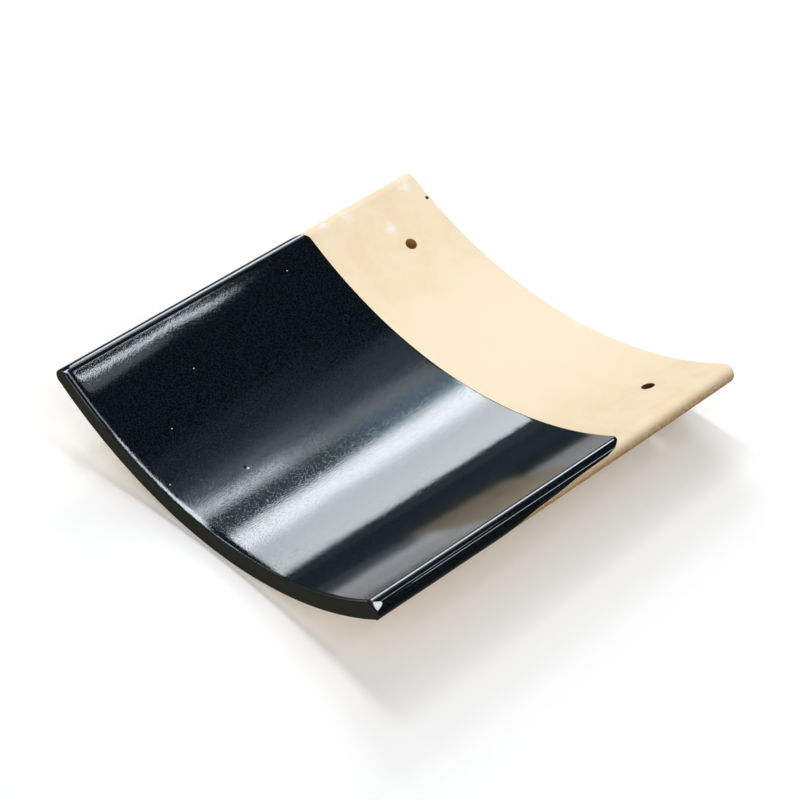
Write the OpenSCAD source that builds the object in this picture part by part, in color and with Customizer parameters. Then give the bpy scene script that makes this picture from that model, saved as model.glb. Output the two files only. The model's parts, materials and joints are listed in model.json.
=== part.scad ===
// Curved clay roof tile: a plate of even thickness, bent to a trough that is tighter at
// its tail than at its head, with full-round sides and two nail holes through the head.
// It lies on its belly. X runs across the tile, and Y runs up the roof towards the head.

/* [Plate] */
// Length up the slope of the roof
length = 300; // [240:1:400]
// Width measured round the inside of the curve, over both round sides
girth = 294; // [240:1:340]
// Thickness of the clay
thickness = 12; // [9:0.5:18]

/* [Curve] */
// Inside radius of the trough at the tail, the end that shows on the roof
tail_radius = 218; // [190:1:260]
// Inside radius of the trough at the head, the end that the next tile covers
head_radius = 271; // [230:1:330]

/* [Edges] */
// Radius of the rounded sides, a little over half the thickness
side_round = 6.5; // [6.3:0.1:12]
// Radius of the eased upper edge along the tail
tail_ease = 1.5; // [0.5:0.1:3]
// Radius of the eased upper edge along the head
head_ease = 1; // [0.5:0.1:3]

/* [Nail holes] */
// Diameter of a nail hole
nail_hole_d = 8; // [4:0.5:12]
// Distance of the left hole from the left side, measured round the curve
left_hole_inset = 45; // [25:1:80]
// Distance of the right hole from the right side, measured round the curve
right_hole_inset = 36; // [25:1:80]
// Distance of the left hole from the head
left_hole_setback = 38; // [20:1:80]
// Distance of the right hole from the head
right_hole_setback = 36; // [20:1:80]

/* [Hidden] */
$fn = 180;
// How far a cutting shape runs past the face that it cuts
overrun = 5;
// How far the bending cones run past the ends of the plate
cone_overrun = 60;
// Share of an easing radius by which its round stands off the faces that it joins
ease_standoff = 0.08;
mid_depth = thickness / 2;
mid_radius = (tail_radius + head_radius) / 2;
centre_z = thickness + mid_radius;
// Lean of the bending cones' axis, which keeps their lowest line level
flare = atan((head_radius - tail_radius) / length);
// Half the angle that the plate fills at mid length, up to the axes of its round sides
cut_angle = (girth / 2 - side_round) / mid_radius * 180 / PI;
tail_reach = cut_reach(tail_radius);
head_reach = cut_reach(head_radius);
// The sides bow a little between the ends, and their straight axes split the difference
side_bow = (mid_radius + mid_depth - (tail_reach + head_reach) / 2) / 2;
side_pitch = atan((tail_reach - head_reach) / length);
side_length = length / cos(side_pitch);

// Distance from the mid-length centre of the curve, along the side cut, to the middle of
// the clay at the place where the inside radius is r
function cut_reach(r) =
    let (rise = r - mid_radius)
    sqrt(pow(r + mid_depth, 2) - pow(rise * sin(cut_angle), 2)) - rise * cos(cut_angle);

// Inside radius of the trough at a distance y from mid length
function radius_at(y) = mid_radius + (head_radius - tail_radius) * y / length;

// Solid cone lying on its lowest line, which is level and the given depth under the inside face
module bending_cone(depth) {
    tail_r = (tail_radius + depth) * cos(flare);
    spread = tan(flare);
    translate([0, -length / 2, thickness - depth])
        rotate([flare - 90, 0, 0])
            translate([0, -tail_r, -cone_overrun])
                cylinder(
                    h = length + 2 * cone_overrun,
                    r1 = tail_r - cone_overrun * spread,
                    r2 = tail_r + (length + cone_overrun) * spread
                );
}

// Clay of even thickness between two cones that share an axis
module bent_shell() {
    difference() {
        bending_cone(thickness);
        bending_cone(0);
    }
}

// Children, placed in the right side's cut: Y along the round's axis, X out of the plate
module at_right_side() {
    translate([0, 0, centre_z])
        rotate([0, -cut_angle, 0])
            translate([0, 0, -(tail_reach + head_reach) / 2 - side_bow])
                rotate([side_pitch, 0, 0])
                    children();
}

// Children on the right side and their mirror image on the left
module both_sides() {
    children();
    mirror([1, 0, 0])
        children();
}

// Wedge from the centre of the curve down to the axes of the round sides
module side_wedge() {
    depth = centre_z + overrun;
    foot = depth * tan(cut_angle);
    rotate([90, 0, 0])
        linear_extrude(height = length, center = true)
            polygon([[0, centre_z], [-foot, -overrun], [foot, -overrun]]);
}

// Round that ends the plate at its right side
module side_rod() {
    intersection() {
        at_right_side()
            rotate([90, 0, 0])
                cylinder(h = side_length + 2 * overrun, r = side_round, center = true);
        translate([0, -length / 2, -overrun])
            cube([girth, length, centre_z]);
    }
}

// Outline that the bent shell is cut to: square ends and round sides
module outline() {
    side_wedge();
    both_sides()
        side_rod();
}

// Waste in the corner of two faces, left by a round of radius r that eases their edge
module ease_waste(r) {
    centre = r * (1 - ease_standoff);
    difference() {
        translate([-overrun, -overrun])
            square(overrun + centre);
        translate([centre, centre])
            circle(r = r);
    }
}

// Waste along the upper edge of an end whose inside radius is curve_r
module end_waste(curve_r, ease_r) {
    translate([0, 0, thickness + curve_r])
        rotate([-90, 0, 0])
            rotate_extrude()
                translate([curve_r, 0])
                    ease_waste(ease_r);
}

// Waste round the tail end of the right side's round
module side_end_waste(ease_r) {
    at_right_side()
        translate([0, -side_length / 2, 0])
            rotate([-90, -90, 0])
                rotate_extrude(angle = 180)
                    translate([side_round, 0])
                        mirror([1, 0])
                            ease_waste(ease_r);
}

module eased_ends() {
    translate([0, -length / 2, 0])
        end_waste(tail_radius, tail_ease);
    translate([0, length / 2, 0])
        mirror([0, 1, 0])
            end_waste(head_radius, head_ease);
    both_sides()
        side_end_waste(tail_ease);
}

// Bore square to the plate, at an arc distance from the middle and a distance from the head
module nail_hole(arc, setback) {
    y = length / 2 - setback;
    radius = radius_at(y);
    translate([0, y, thickness + radius])
        rotate([0, -arc / radius * 180 / PI, 0])
            translate([0, 0, -radius - thickness - overrun])
                cylinder(h = thickness + 2 * overrun, d = nail_hole_d);
}

module roof_tile() {
    color("#ead9b2")
        difference() {
            intersection() {
                bent_shell();
                outline();
            }
            eased_ends();
            nail_hole(left_hole_inset - girth / 2, left_hole_setback);
            nail_hole(girth / 2 - right_hole_inset, right_hole_setback);
        }
}

roof_tile();
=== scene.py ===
import json
import math

import bmesh
import bpy
import numpy as np
from mathutils import Matrix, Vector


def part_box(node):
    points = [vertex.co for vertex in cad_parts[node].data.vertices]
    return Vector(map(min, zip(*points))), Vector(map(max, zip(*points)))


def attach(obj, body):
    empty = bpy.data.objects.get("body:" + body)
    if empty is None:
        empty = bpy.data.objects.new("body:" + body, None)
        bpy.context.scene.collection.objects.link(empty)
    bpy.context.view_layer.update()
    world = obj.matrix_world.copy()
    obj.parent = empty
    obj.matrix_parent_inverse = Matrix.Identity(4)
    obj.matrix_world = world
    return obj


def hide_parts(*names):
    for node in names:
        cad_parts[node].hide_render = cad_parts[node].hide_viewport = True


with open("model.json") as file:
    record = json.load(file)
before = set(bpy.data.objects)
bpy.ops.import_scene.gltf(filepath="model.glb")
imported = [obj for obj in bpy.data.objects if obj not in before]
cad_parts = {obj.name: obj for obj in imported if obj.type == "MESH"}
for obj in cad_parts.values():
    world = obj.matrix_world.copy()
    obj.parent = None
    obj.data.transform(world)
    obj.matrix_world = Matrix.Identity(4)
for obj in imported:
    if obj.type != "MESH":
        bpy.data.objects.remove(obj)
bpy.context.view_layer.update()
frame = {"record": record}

# The clay body: a slab of pale clay, cut to a plate, bent over a tapered former into a trough
# that is tighter at its tail, and fired in one piece. Its sides are rounded off while wet, and
# two nail holes are pierced through the head, the end that the next tile covers on the roof.
MM = 0.001
plate_low, plate_high = (np.array(corner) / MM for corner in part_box("roof_tile"))
length = plate_high[1] - plate_low[1]
nail_holes = [mount for mount in frame["record"]["mounts"] if mount["kind"] == "bore"]
thickness = nail_holes[0]["dims"]["length_mm"]
half_depth = thickness / 2
# The plate before bending, in millimetres, and the inside radius that each end is bent to
girth = 294.0
side_round = 6.5
tail_radius = 218.0
head_radius = 271.0
mid_radius = (tail_radius + head_radius) / 2
flare = (head_radius - tail_radius) / length
slant = 1 / math.sqrt(1 - flare**2)
cut_angle = (girth / 2 - side_round) / mid_radius
# Rounds of the sides and eases of the ends' edges
left_top_roll = 6.0
right_top_roll = 5.2
side_foot_roll = 1.0
tail_ease = 2.0
tail_left_ease = 0.6
head_ease = 1.0
foot_ease = 0.5
# Sag of the inside face at the tail, its place and where it fades out
tail_droop = 0.42
droop_start = 1.0
droop_reach = 6.5
droop_fade = (20.0, 75.0)
# Columns and rows of the mesh
face_columns = 178
top_roll_steps = 37
side_steps = 28
foot_roll_steps = 7
body_rows = 164
# Unevenness from the hand: waves in the faces, corners, the cut of the tail and the drawn corner
top_unevenness = 0.015
foot_unevenness = 0.03
wave_size = 60.0
corner_rounds = {"tail_left": 0.3, "tail_right": 0.6, "head_left": 2.5, "head_right": 0.8}
askew_shift = 0.25
askew_turn = 1.9
askew_reach = 60.0
corner_draw = 1.8
draw_start = 60.0
draw_reach = 24.0
# Painted shade in the nail holes: darker deeper in, and darker in the right hole than the left
left_hole_shade = 0.58
right_hole_shade = 1.0
rim_hole_shade = 0.9
hole_shade_depth_share = 0.6
# Painted shade down a round side, darker towards its foot, by the angle on the round, and how far it
# spreads over the belly
foot_shade_leans = [-75, -40, -10, 10, 30, 50, 70]
foot_shade_shares = [0.95, 0.88, 0.66, 0.27, 0.02, 0, 0]
left_foot_shade = 0.5
left_foot_shade_drop = 25
belly_shade_start = 0.7
belly_left_shade = 0.465
belly_right_shade = 0.95
end_shade_start = 0.7


def radius_at(y):
    """Inside radius of the trough, which widens evenly from the tail to the head."""
    return mid_radius + flare * y


def side_turn(y):
    """Turn of the plate from its lowest line to the axis of a round side. Both sides are cut in
    planes through the mid-length centre of the curve: the reach in that plane to the middle of
    the clay, times the sine of the cut, is how far out the axis lies."""
    rise = flare * y
    middle = radius_at(y) + half_depth
    reach = np.sqrt(middle**2 - (rise * math.sin(cut_angle)) ** 2) - rise * math.cos(cut_angle)
    return np.arcsin(reach * math.sin(cut_angle) / (middle * slant))


def ripple(u, v, size, seed):
    """Smooth unevenness with a spread of 1: a sum of sine waves of about the given size, whose
    directions, lengths and phases are drawn at random."""
    draw = np.random.default_rng(seed)
    waves = 14
    pitch_range = (0.6, 1.5)
    heading = draw.uniform(0, 2 * math.pi, waves)
    pitch = 2 * math.pi / size * draw.uniform(*pitch_range, waves)
    phase = draw.uniform(0, 2 * math.pi, waves)
    run = u[..., None] * np.cos(heading) + v[..., None] * np.sin(heading)
    return np.sin(run * pitch + phase).sum(axis=-1) * math.sqrt(2 / waves)


def bend(turn, y, depth):
    """Point of the bent plate at a turn from its lowest line, a station along it and a depth under
    its inside face. A slice of the cone is an ellipse that touches the lowest line: x is its
    radius times the sine of the turn, and z rises by the radius times one less the cosine."""
    radius = radius_at(y) + depth
    x = radius * slant * np.sin(turn)
    z = thickness - depth + radius * slant**2 * (1 - np.cos(turn))
    return np.stack([x, y, z], axis=-1)


def droop(along, y):
    """How far the inside face sinks towards the tail: the cube of the share of its reach, ahead of
    the eased edge, that is still to go. It fades out towards the right side."""
    to_edge = (y + length / 2 - droop_start) / droop_reach
    return tail_droop * np.interp(along, droop_fade, [1, 0]) * np.maximum(1 - to_edge, 0) ** 3


def clay_point(turn, y, depth):
    """Point of the fired plate: the bent plate with each face a little uneven in depth, by a
    ripple of its own that fades out through the clay, as the droop at the tail does."""
    along = turn * mid_radius
    share = depth / thickness
    top = top_unevenness * ripple(along, y, wave_size, seed=3) + droop(along, y)
    foot = foot_unevenness * ripple(along, y, wave_size, seed=4)
    return bend(turn, y, depth + top * (1 - share) + foot * share)


def arc(centre, radius, start, end, count):
    """Points of an arc about a centre, from one angle to another in degrees."""
    angle = np.radians(np.linspace(start, end, count))
    return np.array(centre) + radius * np.stack([np.cos(angle), np.sin(angle)], axis=-1)


def side_profile(top_roll):
    """Outline of a round side, from the inside face round to the belly: a gentle roll, the main
    round about the middle of the clay and a tighter roll, each arc touching the next. Gives the
    distance past the side's axis, the height over the middle and the angle on the main round."""
    def roll_centre(roll):
        """Centre of a roll that touches a face and lies inside the main round."""
        height = half_depth - roll
        return math.sqrt((side_round - roll) ** 2 - height**2), height
    top_out, top_height = roll_centre(top_roll)
    foot_out, foot_height = roll_centre(side_foot_roll)
    top_lean = math.degrees(math.atan2(top_height, top_out))
    foot_lean = math.degrees(math.atan2(foot_height, foot_out))
    points = np.concatenate([
        arc((top_out, top_height), top_roll, 90, top_lean, top_roll_steps),
        arc((0, 0), side_round, top_lean, -foot_lean, side_steps)[1:],
        arc((foot_out, -foot_height), side_foot_roll, -foot_lean, -90, foot_roll_steps)[1:],
    ])
    lean = np.degrees(np.arctan2(points[:, 1], points[:, 0]))
    return points[:, 0], points[:, 1], lean


# Columns round the plate's section: the inside face from left to right, the right side, the
# belly from right to left and the left side. Each has its share of the side's turn, its distance
# past that and its depth.
right_out, right_height, right_lean = side_profile(right_top_roll)
left_out, left_height, left_lean = (values[::-1] for values in side_profile(left_top_roll))
side_count = len(right_out)
face_share = np.linspace(-1, 1, face_columns + 2)[1:-1]
side_ones = np.ones(side_count)
column_share = np.concatenate([face_share, side_ones, face_share[::-1], -side_ones])
face_out = face_share * np.where(face_share > 0, right_out[0], left_out[-1])
column_out = np.concatenate([face_out, right_out, face_share[::-1] * right_out[-1], -left_out])
column_depth = half_depth - np.concatenate([
    np.full(face_columns, half_depth), right_height, np.full(face_columns, -half_depth), left_height
])
column_lean = np.concatenate([
    np.full(face_columns, 90), right_lean, np.full(face_columns, -90), left_lean
])
columns = len(column_share)
# Ease of the ends' edges: the tail's grows from left to right over the inside face, and the head's
# right corner is worn. On a round side it goes by the angle on the round.
tail_ease_shares = [-1, -0.8, -0.2, 0.2]
tail_eases = [tail_left_ease, 0.8, 1.1, tail_ease]
tail_side_leans = [-90, -30, 20, 90]
tail_side_eases = [foot_ease, 0.6, tail_ease, tail_ease]
worn_leans = [-90, -60, -20, 20, 90]
worn_eases = [2.0, 2.4, 1.4, 0.7, head_ease]
foot_edge = np.full(face_columns, foot_ease)
tail_edge = np.concatenate([
    np.interp(face_share, tail_ease_shares, tail_eases),
    np.interp(right_lean, tail_side_leans, tail_side_eases),
    foot_edge,
    np.interp(left_lean, [-90, 90], [foot_ease, tail_left_ease]),
])
head_edge = np.concatenate([
    np.full(face_columns, head_ease),
    np.interp(right_lean, worn_leans, worn_eases),
    foot_edge,
    np.interp(left_lean, [-90, 90], [foot_ease, head_ease]),
])


def section(shrink, y):
    """Turn, station and depth of each column at each row, with the section drawn in towards the
    middle of the clay by the row's shrink. Near a corner both distances from the inner corner of
    its square are scaled by the larger over their diagonal, which rounds the square in plan."""
    turn = column_share * side_turn(y) + shrink * column_out / (radius_at(y) + half_depth)
    depth = half_depth + shrink * (column_depth - half_depth)
    for corner, rounding in corner_rounds.items():
        end, side = corner.split("_")
        toward_end = 1 if end == "head" else -1
        toward_side = 1 if side == "right" else -1
        middle = radius_at(y) + half_depth
        out = (toward_side * turn - side_turn(y)) * middle - (side_round - rounding)
        over = toward_end * y - (length / 2 - rounding)
        inside = (out > 0) & (over > 0)
        scale = np.where(inside, np.maximum(out, over) / np.hypot(out, over), 1)
        turn = np.where(inside, turn - toward_side * out * (1 - scale) / middle, turn)
        y = np.where(inside, y - toward_end * over * (1 - scale), y)
    return turn, y, depth


# The tail's right corner is shaved flat, by a cut that leans out from the tail
shave_lean = math.radians(57)
shave_tilt = math.radians(7)
shave_depth = 0.95


def shave_corner(points, skin=0.0):
    """The points, with those past the cut at the tail's right corner brought back square to it. A
    coat of the given skin has its own cut that much further out."""
    tail = np.array(-length / 2)
    axis = bend(side_turn(tail), tail, half_depth)
    out = np.array([math.cos(shave_lean), 0, math.sin(shave_lean)])
    square = out * math.cos(shave_tilt) - np.array([0, math.sin(shave_tilt), 0])
    corner = axis + (side_round - shave_depth + skin) * out
    past = np.maximum((points - corner) @ square, 0)
    return points - past[..., None] * square


def cut_askew(points):
    """The points, moved along the tile near its ends, which are cut by hand. The tail is a little
    out of square: its shift at that distance from the middle, times the share of its reach still
    to go. The head's right corner is drawn out, by the square of the share of the way to it."""
    x, y, _ = np.moveaxis(points, -1, 0)
    to_tail = np.clip(1 - (y + length / 2) / askew_reach, 0, 1)
    shift = (askew_shift + askew_turn * x / plate_high[0]) * to_tail
    to_head = np.clip(1 - (length / 2 - y) / draw_reach, 0, 1)
    to_corner = np.clip((x - draw_start) / (plate_high[0] - draw_start), 0, 1)
    shift = shift + corner_draw * to_corner**2 * to_head
    return points + shift[..., None] * np.array([0, 1, 0])


def end_rows(ease, steps=13):
    """Rows over a flat end, from its middle line out and round its eased edge: the shrink of the
    section and the setback from the end, by the sine and cosine of the edge's round."""
    flat_shares = np.array([0, 0.5, 0.85])[:, None]
    flat = flat_shares * (1 - ease / half_depth)
    angle = np.linspace(0, math.pi / 2, steps)[:, None]
    shrink = np.concatenate([flat, 1 - ease * (1 - np.sin(angle)) / half_depth])
    setback = np.concatenate([np.zeros_like(flat), ease * (1 - np.cos(angle))])
    return shrink, setback


def ring_quads(rows, count, first=0):
    """Corner numbers of the quads between rows of points, each row closed on itself."""
    index = first + np.arange(rows * count).reshape(rows, count)
    here = index[:-1]
    there = index[1:]
    return np.stack([here, np.roll(here, -1, 1), np.roll(there, -1, 1), there], axis=-1)


def make_piece(name, points, quads, materials, finish=None, marks=None):
    """One closed mesh of the points, in metres, with its seams welded and its faces outwards. The
    finish is each quad's place in the materials, and a mark is a number for each point."""
    mesh = bpy.data.meshes.new(name)
    mesh.from_pydata((points * MM).tolist(), [], quads.tolist())
    for material in materials:
        mesh.materials.append(material)
    if finish is not None:
        mesh.polygons.foreach_set("material_index", finish)
    for mark, values in (marks or {}).items():
        mesh.attributes.new(mark, "FLOAT", "POINT").data.foreach_set("value", values)
    weld_gap = 0.002 * MM
    sliver_size = 0.001 * MM
    shell = bmesh.new()
    shell.from_mesh(mesh)
    bmesh.ops.remove_doubles(shell, verts=shell.verts, dist=weld_gap)
    bmesh.ops.dissolve_degenerate(shell, edges=shell.edges, dist=sliver_size)
    bmesh.ops.recalc_face_normals(shell, faces=shell.faces)
    shell.to_mesh(mesh)
    shell.free()
    mesh.shade_smooth()
    piece = bpy.data.objects.new(name, mesh)
    bpy.context.collection.objects.link(piece)
    return piece


def belly_shade(share):
    """Painted shade of the belly at a share of the way out to a side: none up to a start, then growing
    evenly to the side's own, which is weaker on the left."""
    strength = np.where(share < 0, belly_left_shade, belly_right_shade)
    return strength * np.interp(np.abs(share), [belly_shade_start, 1], [0, 1])


def hole_patch(mount, grid):
    """Rings of points that carry the square of columns and rows round a nail hole down to its rim,
    through the bore and out to the belly: each is a share of the square plus the rest of a circle.
    Gives the points, each one's marks for painted shade in the bore and on the belly, and the
    columns and rows that the square takes up."""
    turn, y, depth = grid
    bore = mount["dims"]["r_mm"]
    rim = 0.45
    shaded_rim = 0.6 * rim
    reach_cells = 6
    fade_rings = 7
    wall_rings = 9
    rim_rings = 6
    x, station, _ = (value / MM for value in mount["pos_m"])
    centre = math.asin(x / ((radius_at(station) + half_depth) * slant))
    row = np.abs(y[:, face_columns // 2] - station).argmin()
    column = np.abs(turn[row, :face_columns] - centre).argmin()
    step = np.arange(2 * reach_cells)
    low = np.zeros_like(step)
    high = np.full_like(step, 2 * reach_cells)
    ring_columns = column - reach_cells + np.concatenate([step, high, high - step, low])
    ring_rows = row - reach_cells + np.concatenate([low, step, high, high - step])
    belly_columns = 2 * face_columns + side_count - 1 - ring_columns

    def square(cells):
        """Distances of the square's columns and rows from the hole's centre, along the clay."""
        middle = radius_at(y[ring_rows, cells]) + depth[ring_rows, cells]
        return (turn[ring_rows, cells] - centre) * middle, y[ring_rows, cells] - station

    top_s, top_y = square(ring_columns)
    belly_s, belly_y = square(belly_columns)
    around = np.arctan2(top_y, top_s)
    fade = np.linspace(1, 0, fade_rings)[:, None]
    wall = np.linspace(0, 1, wall_rings)[1:-1, None]
    angle = np.linspace(0, math.pi / 2, rim_rings)[:, None]
    none = np.zeros_like(fade)
    still = np.zeros((len(angle) * 2 + len(wall) - 2, 1))
    top_share = np.concatenate([fade, still, none])
    belly_share = np.concatenate([none, still, fade[::-1]])
    rim_reach = bore + rim * (1 - np.sin(angle[1:]))
    reach = np.concatenate([
        np.full_like(fade, bore + rim), rim_reach, np.full_like(wall, bore), rim_reach[::-1],
        np.full_like(fade, bore + rim),
    ])
    rim_depth = rim * (1 - np.cos(angle[1:]))
    ring_depth = np.concatenate([
        none, rim_depth, rim + wall * (thickness - 2 * rim), thickness - rim_depth[::-1],
        none + thickness,
    ])
    circle_share = 1 - top_share - belly_share
    offset_s = top_share * top_s + belly_share * belly_s + circle_share * reach * np.cos(around)
    offset_y = top_share * top_y + belly_share * belly_y + circle_share * reach * np.sin(around)
    ring_y = station + offset_y
    ring_turn = centre + offset_s / (radius_at(ring_y) + ring_depth)
    points = cut_askew(clay_point(ring_turn, ring_y, ring_depth + np.zeros_like(ring_y)))
    # Painted shade in the bore: full deep in, weaker at the rim, fading out over the rounded edge
    this_hole_shade = left_hole_shade if x < 0 else right_hole_shade
    hole_shade = this_hole_shade * np.interp(ring_depth, [0, hole_shade_depth_share * thickness], [rim_hole_shade, 1.0])
    bore_mark = np.clip(1 - (reach - bore) / shaded_rim, 0, 1) * hole_shade * np.ones_like(ring_y)
    # Painted shade on the belly round the hole, as on the rest of the belly
    belly_turn = side_turn(ring_y) + right_out[-1] / (radius_at(ring_y) + half_depth)
    on_belly = np.clip(1 - (thickness - ring_depth) / rim, 0, 1)
    shade_mark = belly_shade(ring_turn / belly_turn) * on_belly
    cells = slice(row - reach_cells, row + reach_cells)
    spans = (ring_columns.min(), ring_columns.max(), belly_columns.min(), belly_columns.max())
    return points, bore_mark, shade_mark, cells, spans


def clay_body_mesh():
    """Points, quads and marks of the whole tile: rows from the tail's middle line out, along the
    length and in to the head's middle line, with a patch of rings in place of each nail hole's
    square. A round side is marked for painted shade more and more towards its foot, and so is the
    belly near it, but the flat ends aren't."""
    tail_shrink, tail_setback = end_rows(tail_edge)
    head_shrink, head_setback = end_rows(head_edge)
    share = np.linspace(0, 1, body_rows)[1:-1, None]
    start = -length / 2 + tail_edge
    finish = length / 2 - head_edge
    y = np.concatenate([
        tail_setback - length / 2, start + share * (finish - start), length / 2 - head_setback[::-1]
    ])
    shrink = np.concatenate([tail_shrink, np.ones((len(share), columns)), head_shrink[::-1]])
    grid = section(shrink, y)
    points = [shave_corner(cut_askew(clay_point(*grid))).reshape(-1, 3)]
    quads = ring_quads(len(y), columns)
    keep = np.ones(quads.shape[:2], bool)
    patches = []
    first = len(points[0])
    # Painted shade: the round sides darker towards their foot, where less light falls, and the belly
    # near them
    drop = np.where(column_share < 0, left_foot_shade_drop, 0)
    scorch = np.interp(column_lean + drop, foot_shade_leans, foot_shade_shares)
    scorch = scorch * np.where(column_share < 0, left_foot_shade, 1)
    scorch = np.where(column_lean > -90, scorch, belly_shade(column_share))
    off_end = np.clip((shrink - end_shade_start) / (1 - end_shade_start), 0, 1)
    painted_shades = [(scorch * off_end).ravel()]
    bored = [np.zeros(first)]
    for mount in nail_holes:
        rings, bore_mark, shade_mark, cells, spans = hole_patch(mount, grid)
        left, right, belly_left, belly_right = spans
        keep[cells, left:right] = False
        keep[cells, belly_left:belly_right] = False
        points.append(rings.reshape(-1, 3))
        patches.append(ring_quads(*rings.shape[:2], first=first).reshape(-1, 4))
        painted_shades.append(shade_mark.ravel())
        bored.append(bore_mark.ravel())
        first += len(points[-1])
    marks = {"scorch": np.concatenate(painted_shades), "bore": np.concatenate(bored)}
    return np.concatenate(points), np.concatenate([quads[keep]] + patches), marks


def linear(red, green, blue):
    """Shader colour of a screen colour given as three numbers up to 255, by the usual screen curve."""
    value = np.array([red, green, blue]) / 255
    bright = ((value + 0.055) / 1.055) ** 2.4
    return (*np.where(value <= 0.04045, value / 12.92, bright), 1)


def add_node(tree, kind, inputs=None, **settings):
    """A shader node with its settings and inputs. An input is a value or another node's output."""
    node = tree.nodes.new(kind)
    for key, value in settings.items():
        setattr(node, key, value)
    for key, value in (inputs or {}).items():
        if isinstance(value, bpy.types.NodeSocket):
            tree.links.new(value, node.inputs[key])
        else:
            node.inputs[key].default_value = value
    return node


def new_material(name):
    """An empty material with its tree, its shader and its Object coordinates."""
    material = bpy.data.materials.new(name)
    material.use_nodes = True
    tree = material.node_tree
    shader = tree.nodes["Principled BSDF"]
    place = add_node(tree, "ShaderNodeTexCoord").outputs["Object"]
    return material, tree, shader, place


def noise(tree, place, size_mm, detail=3.0, roughness=0.5):
    """Noise whose lumps are about the given size in millimetres."""
    inputs = {"Vector": place, "Scale": 1 / (size_mm * MM), "Detail": detail, "Roughness": roughness}
    return add_node(tree, "ShaderNodeTexNoise", inputs).outputs["Fac"]


def ramp(tree, value, low, high, start=0.0, end=1.0):
    """The value carried from one range to another, clamped, with soft ends."""
    inputs = {"Value": value, "From Min": low, "From Max": high, "To Min": start, "To Max": end}
    node = add_node(tree, "ShaderNodeMapRange", inputs, interpolation_type="SMOOTHSTEP")
    return node.outputs["Result"]


def blend(tree, share, first, second):
    """One colour blended into another by a share."""
    node = add_node(tree, "ShaderNodeMix", data_type="RGBA")
    tree.links.new(share, node.inputs["Factor"])
    for socket, colour in ((node.inputs[6], first), (node.inputs[7], second)):
        if isinstance(colour, bpy.types.NodeSocket):
            tree.links.new(colour, socket)
        else:
            socket.default_value = colour
    return node.outputs[2]


def calculate(tree, operation, first, second):
    """One arithmetic step on two values."""
    node = add_node(tree, "ShaderNodeMath", {0: first, 1: second}, operation=operation)
    return node.outputs[0]


def inside_spot(x, y):
    """Point in metres on the inside face, over a place given in millimetres."""
    turn = math.asin(x / (radius_at(y) * slant))
    return tuple(bend(np.array(turn), np.array(y), 0.0) * MM)


def near(tree, place, spots, reach_mm, softness=0.5):
    """Share that is 1 at each of the spots and 0 past the reach."""
    nearest = None
    for spot in spots:
        inputs = {0: place, 1: spot}
        distance = add_node(tree, "ShaderNodeVectorMath", inputs, operation="DISTANCE").outputs["Value"]
        nearest = distance if nearest is None else calculate(tree, "MINIMUM", nearest, distance)
    return ramp(tree, nearest, reach_mm * MM, (1 - softness) * reach_mm * MM)


# Places on the inside face, across and along the tile, where salts have come out of the clay
salt_places = [(-135.5, 85.2), (-136.0, 67.5), (-134.7, 138.4), (-114.6, 108.6), (17.6, 146.0)]

# Place of a dark chip in the head's edge
chip_place = (-120.5, 147.4, 40.3)

# Sizes in millimetres of the marks and lumps in the clay, and of the painted light, a paler band along
# its middle
cloud_size = 22
fleck_size = 5
grit_size = 0.9
mottle_size = 2.5
lump_size = 6
salt_reach = 9.0
chip_reach = 1.6
pale_middle = 5
pale_full = 35
pale_none = 95
clay_relief = 0.06


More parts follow.
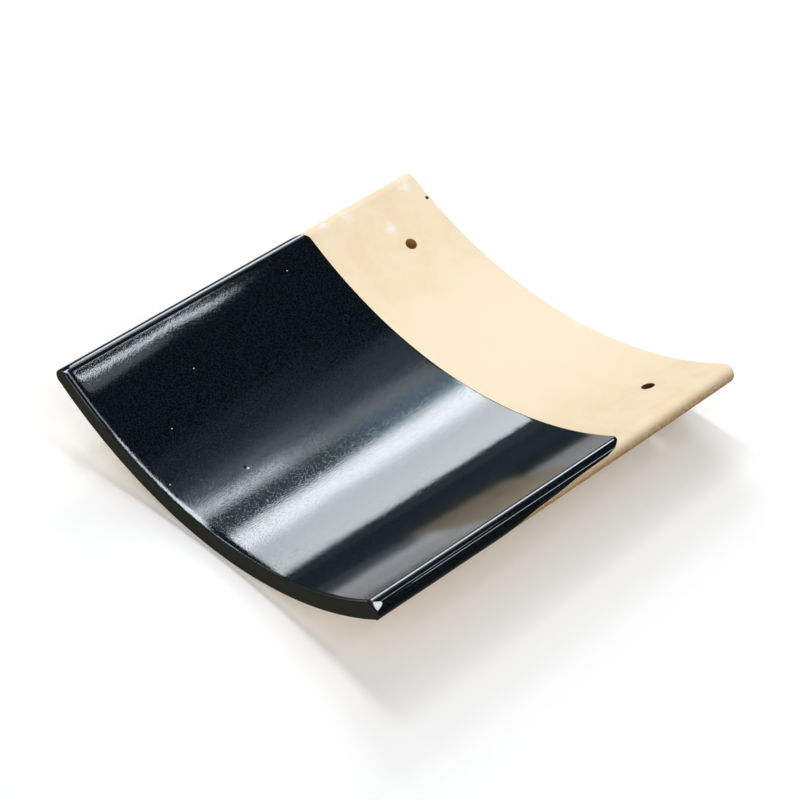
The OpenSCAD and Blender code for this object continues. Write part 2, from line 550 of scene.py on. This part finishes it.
def clay_material():
    """Fired clay: cream, faintly clouded, with whitish salts, fine grit and a matt skin. Painted
    light makes it paler along the middle, and painted shade browns it down the round sides and in
    the nail holes."""
    material, tree, shader, place = new_material("fired clay")
    cream = linear(241, 224, 194)
    warm = linear(238, 217, 184)
    salts = linear(247, 238, 230)
    clouds = ramp(tree, noise(tree, place, cloud_size, 5, 0.6), 0.35, 0.65)
    across = add_node(tree, "ShaderNodeSeparateXYZ", {"Vector": place}).outputs["X"]
    off_middle = calculate(tree, "ABSOLUTE", calculate(tree, "SUBTRACT", across, pale_middle * MM), 0.0)
    colour = blend(tree, clouds, cream, warm)
    # Painted light: the clay paler along the middle of the trough, where most light falls
    painted_middle_light = ramp(tree, off_middle, pale_none * MM, pale_full * MM)
    colour = blend(tree, painted_middle_light, colour, linear(243, 227, 199))
    flecks = noise(tree, place, fleck_size, 5, 0.65)
    bloom = near(tree, place, [inside_spot(*spot) for spot in salt_places], salt_reach, 0.95)
    bloom = calculate(tree, "MULTIPLY", bloom, ramp(tree, flecks, 0.4, 0.6, 0, 0.95))
    colour = blend(tree, bloom, colour, salts)
    grit = noise(tree, place, grit_size, 3, 0.6)
    colour = blend(tree, ramp(tree, grit, 0.62, 0.78, 0, 0.25), colour, linear(205, 180, 138))
    # Painted shade: brown, with a mottle, down the round sides and over the belly near them
    scorch = add_node(tree, "ShaderNodeAttribute", attribute_name="scorch").outputs["Fac"]
    mottle = ramp(tree, noise(tree, place, mottle_size, 4, 0.6), 0.3, 0.7, 0.88, 1.12)
    colour = blend(tree, calculate(tree, "MULTIPLY", scorch, mottle), colour, linear(126, 93, 42))
    # Painted shade in the nail holes: tan, then dark brown where the bore mark is full
    bore = add_node(tree, "ShaderNodeAttribute", attribute_name="bore").outputs["Fac"]
    colour = blend(tree, ramp(tree, bore, 0.0, 0.5), colour, linear(172, 132, 74))
    colour = blend(tree, ramp(tree, bore, 0.5, 1.0), colour, linear(66, 42, 12))
    chip = near(tree, place, [tuple(MM * np.array(chip_place))], chip_reach, 0.4)
    colour = blend(tree, chip, colour, linear(24, 16, 7))
    tree.links.new(colour, shader.inputs["Base Color"])
    tree.links.new(ramp(tree, clouds, 0, 1, 0.82, 0.95), shader.inputs["Roughness"])
    shader.inputs["Specular IOR Level"].default_value = 0.25
    height = calculate(tree, "ADD", grit, noise(tree, place, lump_size, 3))
    relief = {"Height": height, "Strength": 0.5, "Distance": clay_relief * MM}
    bump = add_node(tree, "ShaderNodeBump", relief)
    tree.links.new(bump.outputs["Normal"], shader.inputs["Normal"])
    return material


clay_points, clay_quads, clay_marks = clay_body_mesh()
clay_body = make_piece("clay_body", clay_points, clay_quads, [clay_material()], marks=clay_marks)
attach(clay_body, "root")
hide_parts("roof_tile")

# The glaze: a black glass that the tail two thirds of the tile are coated with before firing. It
# melts to a skin about a third of a millimetre thick, rolls over the sides and the tail's edge,
# ends in a round bead at the glaze line and dries dull on the flat tail end.
glaze_line = 52.2
glaze_thickness = 0.35
tail_skin = 0.12
foot_sink = 0.05
bead_width = 0.9
coat_rows = 120
coat_root = 0.4
dull_rows = 8
# Angles on the round sides under which the glaze is a dull black that hardly reflects: painted shade in
# place of a dark reflection
unreflecting_left_lean = 32
unreflecting_right_lean = -6
belly_glaze = 3.0
# Share of the glaze's thickness at the foot of a round side, by the angle on the round
skin_leans = [-90, -75, -60]
skin_shares = [0, 0.6, 1]
# Stations of the glaze's lower edge on a round side, by the angle on the round
edge_leans = [-90, -72, -50, -20, -10, 2, 6, 20, 50, 90]
edge_stations = [-110, -62, -45, -25, -2, 12, 37, 45, 50, glaze_line]


def glaze_coat_mesh():
    """Points and quads of the coat, a sock over the tail: rows from the tail's middle line out and
    round its edge, along to the glaze's edge, over the bead, and back inside the clay. Also each
    quad's finish: bright, or dull on the flat tail end, and on the lower half of the sides a dull
    black, painted shade in place of a dark reflection."""
    end = np.interp(column_lean, edge_leans, edge_stations)
    end[side_count + face_columns:side_count + 2 * face_columns] = -length / 2 + belly_glaze
    skin_share = np.interp(column_lean, skin_leans, skin_shares)
    skin = np.where(column_lean > -90, skin_share * glaze_thickness, -foot_sink)
    tail_shrink, tail_setback = end_rows(tail_edge)
    start = -length / 2 - tail_skin + tail_edge
    bead = np.minimum(bead_width, (end - start) / 3)
    close_share = 0.05
    close_rows = 20
    bead_rows = 7
    close = np.linspace(0, close_share, close_rows)[1:-1]
    share = np.concatenate([close, np.linspace(close_share, 1, coat_rows)])[:, None]
    angle = np.linspace(0, math.pi / 2, bead_rows)[1:, None]
    level = 1 + skin / half_depth
    sunk = 1 - foot_sink / half_depth
    root = 1 - coat_root / half_depth
    inner_end = -length / 2 + coat_root
    inner_shares = np.array([0.97, 0.6, 0.2, 0.02])[:, None]
    y = np.concatenate([
        tail_setback - length / 2 - tail_skin,
        start + share * (end - bead - start),
        end - bead * (1 - np.sin(angle)),
        start + inner_shares * (end - start),
        np.full((2, columns), inner_end),
    ])
    shrink = np.concatenate([
        tail_shrink * level,
        np.ones_like(share) * level,
        sunk + (level - sunk) * np.cos(angle),
        np.full((len(inner_shares), columns), root),
        np.ones((1, columns)) * (1 - tail_edge / half_depth),
        np.zeros((1, columns)),
    ])
    points = shave_corner(cut_askew(clay_point(*section(shrink, y))), glaze_thickness)
    quads = ring_quads(len(y), columns)
    dull = np.zeros(quads.shape[:2], int)
    dull[:dull_rows] = 1
    # Painted shade: the lower half of each round side gets the dull finish
    dull[:, column_lean < np.where(column_share < 0, unreflecting_left_lean, unreflecting_right_lean)] = 1
    return points.reshape(-1, 3), quads.reshape(-1, 4), dull.ravel()


# Places on the inside face of pale specks in the glaze, and of one pinhole, with a painted glint on its
# rim
speck_places = [(-100.4, -77.3), (-75.7, -116.2), (-45.6, -143.3), (-123.2, 21.9)]
pinhole_place = (-27.6, -98.1)
pinhole_glint = (-26.5, -97.9)

# Sizes in millimetres of the glaze's grain, dents, waves and spots, and the places across the tile
# where its grain and its soft sheen begin and are full
grain_size = 0.9
dent_size = 1.1
dent_edge = 0.42
glaze_wave_size = 9
speck_reach = 0.7
pinhole_reach = 1.9
pinhole_glint_reach = 0.9
right_smooth = (80, 45)
left_smooth = (-100, -70)
satin_inner = (70, 100)
satin_outer = (135, 129)
# Heights of the bump, in steps of a few thousandths of a millimetre
bump_step = 0.004
grain_height = 8.0
dent_height = 4.4
wave_height = 6.0
pinhole_depth = 100.0


def glaze_material():
    """Black glaze: a blue-black glass, pitted and grainy in the middle, less so at the left, and
    smooth with a soft sheen at the right, with a few pale specks and one pinhole, whose hollow is
    painted near black as shade and whose rim has a painted white glint."""
    material, tree, shader, place = new_material("black glaze")
    grain = noise(tree, place, grain_size, 1)
    cells = add_node(tree, "ShaderNodeTexVoronoi", {"Vector": place, "Scale": 1 / (dent_size * MM)})
    dents = ramp(tree, cells.outputs["Distance"], 0.0, dent_edge)
    across = add_node(tree, "ShaderNodeSeparateXYZ", {"Vector": place}).outputs["X"]

    def across_ramp(places, start, end):
        """A value that goes from one number to another between two places across the tile."""
        return ramp(tree, across, places[0] * MM, places[1] * MM, start, end)

    grainy = across_ramp(right_smooth, 0.05, 1.0)
    grainy = calculate(tree, "MULTIPLY", grainy, across_ramp(left_smooth, 0.3, 1.0))
    tone = blend(tree, ramp(tree, grain, 0.4, 0.65), linear(0, 1, 2), linear(22, 29, 33))
    specks = near(tree, place, [inside_spot(*spot) for spot in speck_places], speck_reach)
    tone = blend(tree, specks, tone, linear(225, 225, 220))
    # Painted highlight: a white glint on the pinhole's rim
    rim = near(tree, place, [inside_spot(*pinhole_glint)], pinhole_glint_reach)
    tone = blend(tree, rim, tone, linear(235, 235, 232))
    # Painted shade: the pinhole's hollow near black
    pinhole = near(tree, place, [inside_spot(*pinhole_place)], pinhole_reach, 0.85)
    tone = blend(tree, pinhole, tone, linear(4, 4, 4))
    tree.links.new(tone, shader.inputs["Base Color"])
    pits = calculate(tree, "MULTIPLY", ramp(tree, grain, 0.4, 0.7), grainy)
    satin = across_ramp(satin_inner, 0.0, 0.07)
    satin = calculate(tree, "MULTIPLY", satin, across_ramp(satin_outer, 0.0, 1.0))
    roughness = calculate(tree, "ADD", ramp(tree, pits, 0, 1, 0.05, 0.1), satin)
    tree.links.new(roughness, shader.inputs["Roughness"])
    shader.inputs["Specular IOR Level"].default_value = 0.75
    shader.inputs["Specular Tint"].default_value = (0.84, 0.93, 1.0, 1.0)
    waves = calculate(tree, "MULTIPLY", noise(tree, place, glaze_wave_size, 2), wave_height)
    grains = calculate(tree, "MULTIPLY", grain, grain_height)
    dent_drop = calculate(tree, "MULTIPLY", dents, dent_height)
    rough = calculate(tree, "MULTIPLY", calculate(tree, "ADD", grains, dent_drop), grainy)
    height = calculate(tree, "ADD", waves, rough)
    hollow = calculate(tree, "MULTIPLY", pinhole, pinhole_depth)
    height = calculate(tree, "SUBTRACT", height, hollow)
    relief = {"Height": height, "Strength": 1.0, "Distance": bump_step * MM}
    bump = add_node(tree, "ShaderNodeBump", relief)
    tree.links.new(bump.outputs["Normal"], shader.inputs["Normal"])
    return material


# Distances from the tail between which the dull glaze turns matt, and its grain and relief
dried_band = (3, 1)
dull_grain_size = 3
dull_relief = 0.02


def dull_glaze_material():
    """Dull glaze: matt brown black where it has dried on the tail's end, and on the lower half of the
    sides a smoother black that hardly reflects, painted shade in place of a dark reflection there."""
    material, tree, shader, place = new_material("dull glaze")
    along = add_node(tree, "ShaderNodeSeparateXYZ", {"Vector": place}).outputs["Y"]
    dried_start, dried_end = (-length / 2 + edge for edge in dried_band)
    tail = ramp(tree, along, dried_start * MM, dried_end * MM)
    grain = noise(tree, place, dull_grain_size, 4)
    dried = blend(tree, grain, linear(35, 35, 29), linear(44, 44, 37))
    # Painted shade: black that hardly reflects, on the lower half of the sides
    unreflecting_black = blend(tree, grain, linear(3, 4, 5), linear(8, 9, 10))
    tree.links.new(blend(tree, tail, unreflecting_black, dried), shader.inputs["Base Color"])
    tree.links.new(ramp(tree, tail, 0, 1, 0.22, 0.75), shader.inputs["Roughness"])
    shader.inputs["Specular IOR Level"].default_value = 0.03
    relief = {"Height": grain, "Strength": 0.4, "Distance": dull_relief * MM}
    bump = add_node(tree, "ShaderNodeBump", relief)
    tree.links.new(bump.outputs["Normal"], shader.inputs["Normal"])
    return material


coat_points, coat_quads, coat_finish = glaze_coat_mesh()
glaze_finishes = [glaze_material(), dull_glaze_material()]
glaze_coat = make_piece("glaze_coat", coat_points, coat_quads, glaze_finishes, finish=coat_finish)
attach(glaze_coat, "root")

# The floor: a wide sheet of matt white paper on a level floor, at the height of the tile's
# belly, which rests on it.
floor_reach = 8.0
paper_shade_size = 400


def paper_material():
    """White paper, with a trace of unevenness in its tone and a matt surface."""
    material, tree, shader, place = new_material("white paper")
    clouds = noise(tree, place, paper_shade_size, 2)
    shade = blend(tree, clouds, linear(249, 249, 249), linear(252, 252, 252))
    tree.links.new(shade, shader.inputs["Base Color"])
    shader.inputs["Roughness"].default_value = 1.0
    shader.inputs["Specular IOR Level"].default_value = 0.0
    return material


floor_corners = np.array([[-1, -1, 0], [1, -1, 0], [1, 1, 0], [-1, 1, 0]]) * floor_reach
floor_mesh = bpy.data.meshes.new("floor")
floor_mesh.from_pydata(floor_corners.tolist(), [], [[0, 1, 2, 3]])
floor_mesh.materials.append(paper_material())
floor = bpy.data.objects.new("floor", floor_mesh)
bpy.context.collection.objects.link(floor)

# The light: long softboxes hung over the tile, side by side, each given by the angle that it lies
# at across the tile, the angle that it spans along it, and its brightness.
lamp_distance = 2.0
cool = (0.6, 0.85, 1)
pale_blue = (0.75, 0.92, 1)
softboxes = {
    "main_upper": {"across": (-50, -42.3), "along": (20.5, 39.5), "bright": 11.8},
    "main_lower": {"across": (-66.6, -50), "along": (21, 39.5), "bright": 6.1},
    "main_fade": {"across": (-72, -66.6), "along": (22, 39.5), "bright": 0.2, "tint": cool},
    "main_end": {"across": (-82, -72), "along": (20, 39.5), "bright": 0.08, "tint": cool},
    "strip": {"across": (-32.1, -28), "along": (15, 26), "bright": 8.0, "turn": 12},
    "strip_end": {"across": (-34.5, -29), "along": (26, 34), "bright": 1.7},
    "halo_near": {"across": (-28.5, -22.8), "along": (15, 27.5), "bright": 1.25, "tint": pale_blue},
    "halo_far": {"across": (-28.5, -22.8), "along": (27.5, 36), "bright": 0.5, "tint": pale_blue},
    "halo_fade": {"across": (-22.8, -17.5), "along": (15, 36), "bright": 0.36, "tint": pale_blue},
    "halo_end": {"across": (-17.5, -9), "along": (15, 30), "bright": 0.14, "tint": pale_blue},
    "glow": {"across": (-42.3, -35), "along": (20, 37), "bright": 0.66, "tint": cool},
    "glow_end": {"across": (-42.3, -33), "along": (29, 37), "bright": 1.0, "tint": cool},
    "far_side": {
        "across": (18.85, 20.25), "along": (20.5, 32.4), "bright": 9.2, "turn": 34, "shape": "ELLIPSE",
    },
    "far_fade": {
        "across": (16.6, 19.2), "along": (20.5, 28.5), "bright": 0.9, "shape": "ELLIPSE", "turn": 33,
    },
    "corner": {"across": (30.5, 37.5), "along": (5, 12), "bright": 13.0},
    "side_strip": {"across": (37, 42), "along": (26, 40), "bright": 6.5},
    "top_wedge": {"across": (-31.5, -23), "along": (6, 17), "bright": 12.5},
    "top_left": {"across": (-23, -13), "along": (6, 13.5), "bright": 12.5},
    "top_middle": {"across": (-13, 5), "along": (6, 12), "bright": 9.0},
    "top_right": {"across": (5, 26), "along": (8, 13), "bright": 3.4},
    "tail_line": {"across": (-60, -34), "along": (3, 8), "bright": 5.0},
    "front_fill": {"across": (10, 84), "along": (-60, -4), "bright": 1.7},
}


def add_softbox(name, across, along, bright, shape="RECTANGLE", tint=(1, 1, 1), turn=0):
    """A flat lamp whose length runs along the tile, or is turned from that by some degrees. It
    faces the tile, at the mean of its angles, and its power is its brightness times pi times the
    area of the rectangle that holds it."""
    lean = math.radians(sum(across) / 2)
    width = 2 * lamp_distance * math.tan(math.radians(across[1] - across[0]) / 2)
    near_end, far_end = (lamp_distance * math.tan(math.radians(angle)) for angle in along)
    lamp = bpy.data.lights.new(name, "AREA")
    lamp.shape = shape
    lamp.color = tint
    lamp.size = width
    lamp.size_y = far_end - near_end
    lamp.energy = bright * math.pi * lamp.size * lamp.size_y
    holder = bpy.data.objects.new(name, lamp)
    down = Matrix.Rotation(lean, 4, "Y")
    shift = Matrix.Translation((0, (near_end + far_end) / 2, lamp_distance))
    holder.matrix_world = down @ shift @ Matrix.Rotation(math.radians(turn), 4, "Z")
    bpy.context.collection.objects.link(holder)


for name, box in softboxes.items():
    add_softbox(name, **box)

# The room: the air round the tile, bright behind the camera, at the tile's tail, and dark beyond
# its head, where the glaze has little to reflect.
room_front = (0.28, 0.27, 0.26, 1)
room_back = (0.024, 0.046, 0.058, 1)
room_turn = (-0.15, 0.25)
world = bpy.data.worlds.new("room")
world.use_nodes = True
room = world.node_tree
direction = add_node(room, "ShaderNodeTexCoord").outputs["Generated"]
toward_head = add_node(room, "ShaderNodeSeparateXYZ", {"Vector": direction}).outputs["Y"]
room_colour = blend(room, ramp(room, toward_head, *room_turn), room_front, room_back)
room.links.new(room_colour, room.nodes["Background"].inputs["Color"])
bpy.context.scene.world = world

# The camera: a long lens looking down on the tile from its front right, given by its angles, its
# distance and the point that it aims at.
view_azimuth = math.radians(45.85)
view_elevation = math.radians(42.03)
view_distance = 1331.71
focal_pixels = 2152.08
image_pixels = 800
sensor_width = 36.0
aim_height = 32.0
aim_right = 3.46
aim_up = -5.15

back = np.array([
    math.sin(view_azimuth) * math.cos(view_elevation),
    -math.cos(view_azimuth) * math.cos(view_elevation),
    math.sin(view_elevation),
])
right = np.array([math.cos(view_azimuth), math.sin(view_azimuth), 0])
up = np.cross(back, right)
eye = np.array([0, 0, aim_height]) + aim_right * right + aim_up * up + view_distance * back
camera_data = bpy.data.cameras.new("camera")
camera_data.sensor_width = sensor_width
camera_data.lens = focal_pixels / image_pixels * sensor_width
camera = bpy.data.objects.new("camera", camera_data)
camera.matrix_world = Matrix([
    [right[axis], up[axis], back[axis], eye[axis] * MM] for axis in range(3)
] + [[0, 0, 0, 1]])
bpy.context.collection.objects.link(camera)
bpy.context.scene.camera = camera
bpy.context.scene.view_settings.view_transform = "Standard"
